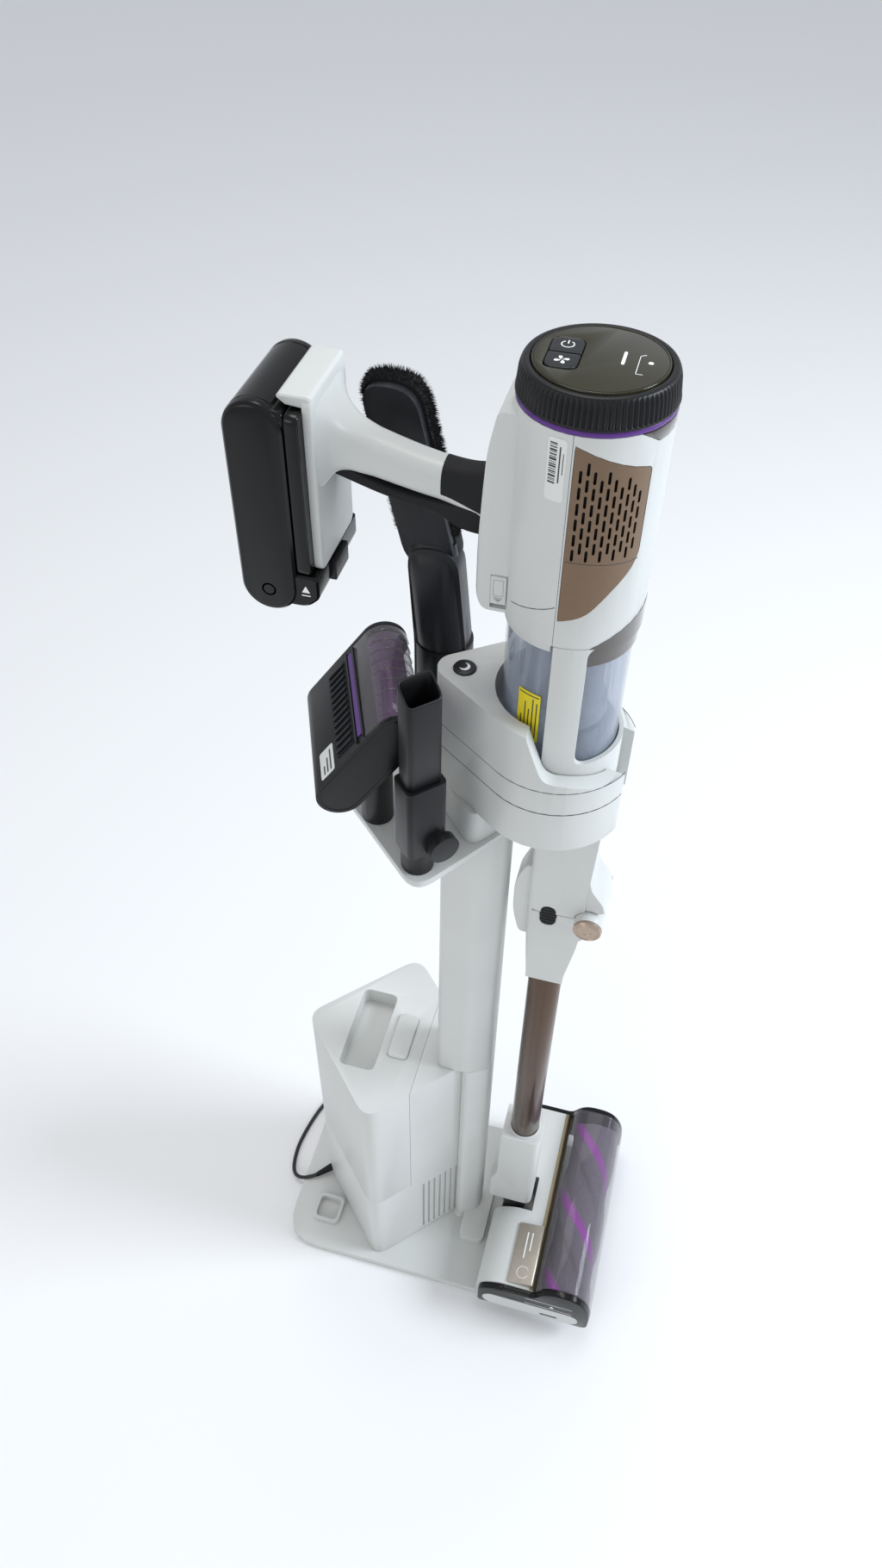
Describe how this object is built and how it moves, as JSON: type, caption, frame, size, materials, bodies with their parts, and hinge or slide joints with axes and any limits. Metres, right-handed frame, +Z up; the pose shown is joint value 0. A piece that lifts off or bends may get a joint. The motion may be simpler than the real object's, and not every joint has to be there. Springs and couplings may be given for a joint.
{
  "type": "cordless stick vacuum with dock",
  "caption": "Folding stick vacuum with clear dust cup, dial top and battery grip, standing in its emptying dock with hand tools on a tray.",
  "frame": {"origin": "on the floor under the hand unit's upright axis, at the base plate's underside", "axes": "+Z up, front of the dock and nozzle towards -Y, +X to the right as seen from the front"},
  "size_m": [0.3325, 0.436, 1.2207],
  "materials": {
    "white_plastic": "satin warm white",
    "black_plastic": "fine satin black",
    "satin_black": "soft satin charcoal",
    "bronze_panel": "bronze metallic paint",
    "bronze_tube": "dark anodised bronze",
    "brushed_cap": "turned bronze",
    "purple_accent": "purple",
    "gloss_black": "polished black display",
    "smoky_clear": "smoky clear polycarbonate",
    "clear_plastic": "clear polycarbonate",
    "rubber": "matte rubber",
    "steel": "bare metal",
    "tan_plate": "tan metallic plate",
    "roller_fabric": "purple and grey brush fabric",
    "bristle": "black bristle"
  },
  "bodies": {
    "dock": {"base_plate": "white_plastic", "tower_housing": "white_plastic", "suction_motor": "steel", "dock_column": "white_plastic", "accessory_tray": "white_plastic", "cradle": "white_plastic", "cord_strain_relief": "rubber", "cord_lead": "rubber", "cord_coil": "rubber", "cord_plug": "rubber"},
    "bin": {"dust_bin": "white_plastic"},
    "bin_release": {"bin_release_button": "white_plastic"},
    "night_light": {"night_button": "satin_black"},
    "hand_unit": {"motor_housing_rear": "white_plastic", "motor_housing_front": "white_plastic", "exhaust_grille_near": "bronze_panel", "exhaust_grille_far": "bronze_panel", "sensor_window": "smoky_clear", "accent_ring": "purple_accent", "display_panel": "gloss_black", "motor": "steel", "dust_cup": "clear_plastic", "cyclone_screen": "satin_black", "cup_frame": "white_plastic", "upper_neck": "white_plastic", "hinge_pin": "steel", "hinge_hose": "rubber", "handle_grip": "white_plastic", "grip_insert": "black_plastic", "battery_mount": "gloss_black"},
    "dial": {"dial_ring": "black_plastic"},
    "power_key": {"power_button": "satin_black"},
    "fan_key": {"fan_button": "satin_black"},
    "fan_rotor": {"impeller": "steel"},
    "cup_flap": {"cup_door": "clear_plastic"},
    "cup_slider": {"cup_release_slider": "white_plastic"},
    "wand_latch": {"fold_latch": "white_plastic"},
    "battery": {"battery_pack": "satin_black"},
    "battery_clip": {"battery_release": "satin_black"},
    "lower_wand": {"lower_knuckle": "white_plastic", "hinge_cap_near": "brushed_cap", "hinge_cap_far": "brushed_cap", "wand_tube": "bronze_tube", "nozzle_neck": "white_plastic"},
    "yoke": {"neck_yoke": "black_plastic"},
    "nozzle": {"nozzle_housing": "white_plastic", "nozzle_cap_near": "black_plastic", "nozzle_cap_far": "black_plastic", "brush_cover": "smoky_clear", "nozzle_badge": "tan_plate"},
    "roller": {"brush_roll": "roller_fabric"},
    "wheel_near": {"nozzle_wheel_near": "rubber"},
    "wheel_far": {"nozzle_wheel_far": "rubber"},
    "pet_tool": {"pet_tool_housing": "satin_black", "pet_tool_cover": "smoky_clear"},
    "pet_roller": {"pet_brush_roll": "roller_fabric"},
    "tool_stand": {"tool_holder": "black_plastic"},
    "crevice": {"crevice_tool": "black_plastic"},
    "duster": {"duster_body": "satin_black", "duster_bristles": "bristle"}
  },
  "joints": [
    {"name": "bin_slide", "type": "slide", "parent": "dock", "child": "bin", "axis": [0, 1, 0], "range_m": [0, 0.15]},
    {"name": "bin_release_press", "type": "slide", "parent": "bin", "child": "bin_release", "axis": [0, 0, -1], "range_m": [0, 0.003], "stiffness_N_per_m": 400},
    {"name": "night_press", "type": "slide", "parent": "dock", "child": "night_light", "axis": [0, 0, -1], "range_m": [0, 0.001], "stiffness_N_per_m": 400},
    {"name": "hand_unit_lift", "type": "slide", "parent": "dock", "child": "hand_unit", "axis": [0, 0, 1], "range_m": [0, 0.08]},
    {"name": "dial_turn", "type": "hinge", "parent": "hand_unit", "child": "dial", "pos_m": [0, 0, 1.21], "axis": [0, 0, 1], "range_deg": [-20, 20]},
    {"name": "power_press", "type": "slide", "parent": "hand_unit", "child": "power_key", "axis": [0, 0, -1], "range_m": [0, 0.0012], "stiffness_N_per_m": 400},
    {"name": "fan_press", "type": "slide", "parent": "hand_unit", "child": "fan_key", "axis": [0, 0, -1], "range_m": [0, 0.0012], "stiffness_N_per_m": 400},
    {"name": "fan_spin", "type": "hinge", "parent": "hand_unit", "child": "fan_rotor", "pos_m": [0, 0, 1.14], "axis": [0, 0, 1], "continuous": true},
    {"name": "cup_flap_swing", "type": "hinge", "parent": "hand_unit", "child": "cup_flap", "pos_m": [0, 0.011, 0.8845], "axis": [-1, 0, 0], "range_deg": [0, 60]},
    {"name": "cup_slider_press", "type": "slide", "parent": "hand_unit", "child": "cup_slider", "axis": [0, 0, -1], "range_m": [0, 0.004], "stiffness_N_per_m": 400},
    {"name": "wand_latch_press", "type": "slide", "parent": "hand_unit", "child": "wand_latch", "axis": [0, -1, 0], "range_m": [0, 0.003], "stiffness_N_per_m": 400},
    {"name": "battery_slide", "type": "slide", "parent": "hand_unit", "child": "battery", "axis": [0, 0, -1], "range_m": [0, 0.035]},
    {"name": "battery_clip_press", "type": "slide", "parent": "battery", "child": "battery_clip", "axis": [0, 1, 0], "range_m": [0, 0.002], "stiffness_N_per_m": 400},
    {"name": "wand_fold", "type": "hinge", "parent": "hand_unit", "child": "lower_wand", "pos_m": [0, -0.05, 0.708], "axis": [-1, 0, 0], "range_deg": [0, 80]},
    {"name": "nozzle_swivel", "type": "hinge", "parent": "lower_wand", "child": "yoke", "pos_m": [0, -0.016, 0.097], "axis": [0, 0, 1], "range_deg": [-30, 30]},
    {"name": "nozzle_pitch", "type": "hinge", "parent": "yoke", "child": "nozzle", "pos_m": [0, -0.016, 0.052], "axis": [-1, 0, 0], "range_deg": [-80, 0]},
    {"name": "roller_spin", "type": "hinge", "parent": "nozzle", "child": "roller", "pos_m": [0, -0.103, 0.062], "axis": [1, 0, 0], "continuous": true},
    {"name": "wheel_near_spin", "type": "hinge", "parent": "nozzle", "child": "wheel_near", "pos_m": [-0.09, -0.046, 0.023], "axis": [1, 0, 0], "continuous": true},
    {"name": "wheel_far_spin", "type": "hinge", "parent": "nozzle", "child": "wheel_far", "pos_m": [0.09, -0.046, 0.023], "axis": [1, 0, 0], "continuous": true},
    {"name": "pet_tool_lift", "type": "slide", "parent": "dock", "child": "pet_tool", "axis": [0, 0, 1], "range_m": [0, 0.02]},
    {"name": "pet_roller_spin", "type": "hinge", "parent": "pet_tool", "child": "pet_roller", "pos_m": [-0.01804, 0.12982, 0.9433], "axis": [0.9211, 0.3894, 0], "continuous": true},
    {"name": "tool_stand_lift", "type": "slide", "parent": "dock", "child": "tool_stand", "axis": [0, 0, 1], "range_m": [0, 0.02]},
    {"name": "crevice_lift", "type": "slide", "parent": "tool_stand", "child": "crevice", "axis": [0, 0, 1], "range_m": [0, 0.03]},
    {"name": "duster_lift", "type": "slide", "parent": "dock", "child": "duster", "axis": [0, 0, 1], "range_m": [0, 0.02]}
  ],
  "couplings": [
    {"joint": "nozzle_pitch", "follows": "wand_fold", "ratio": -1}
  ]
}
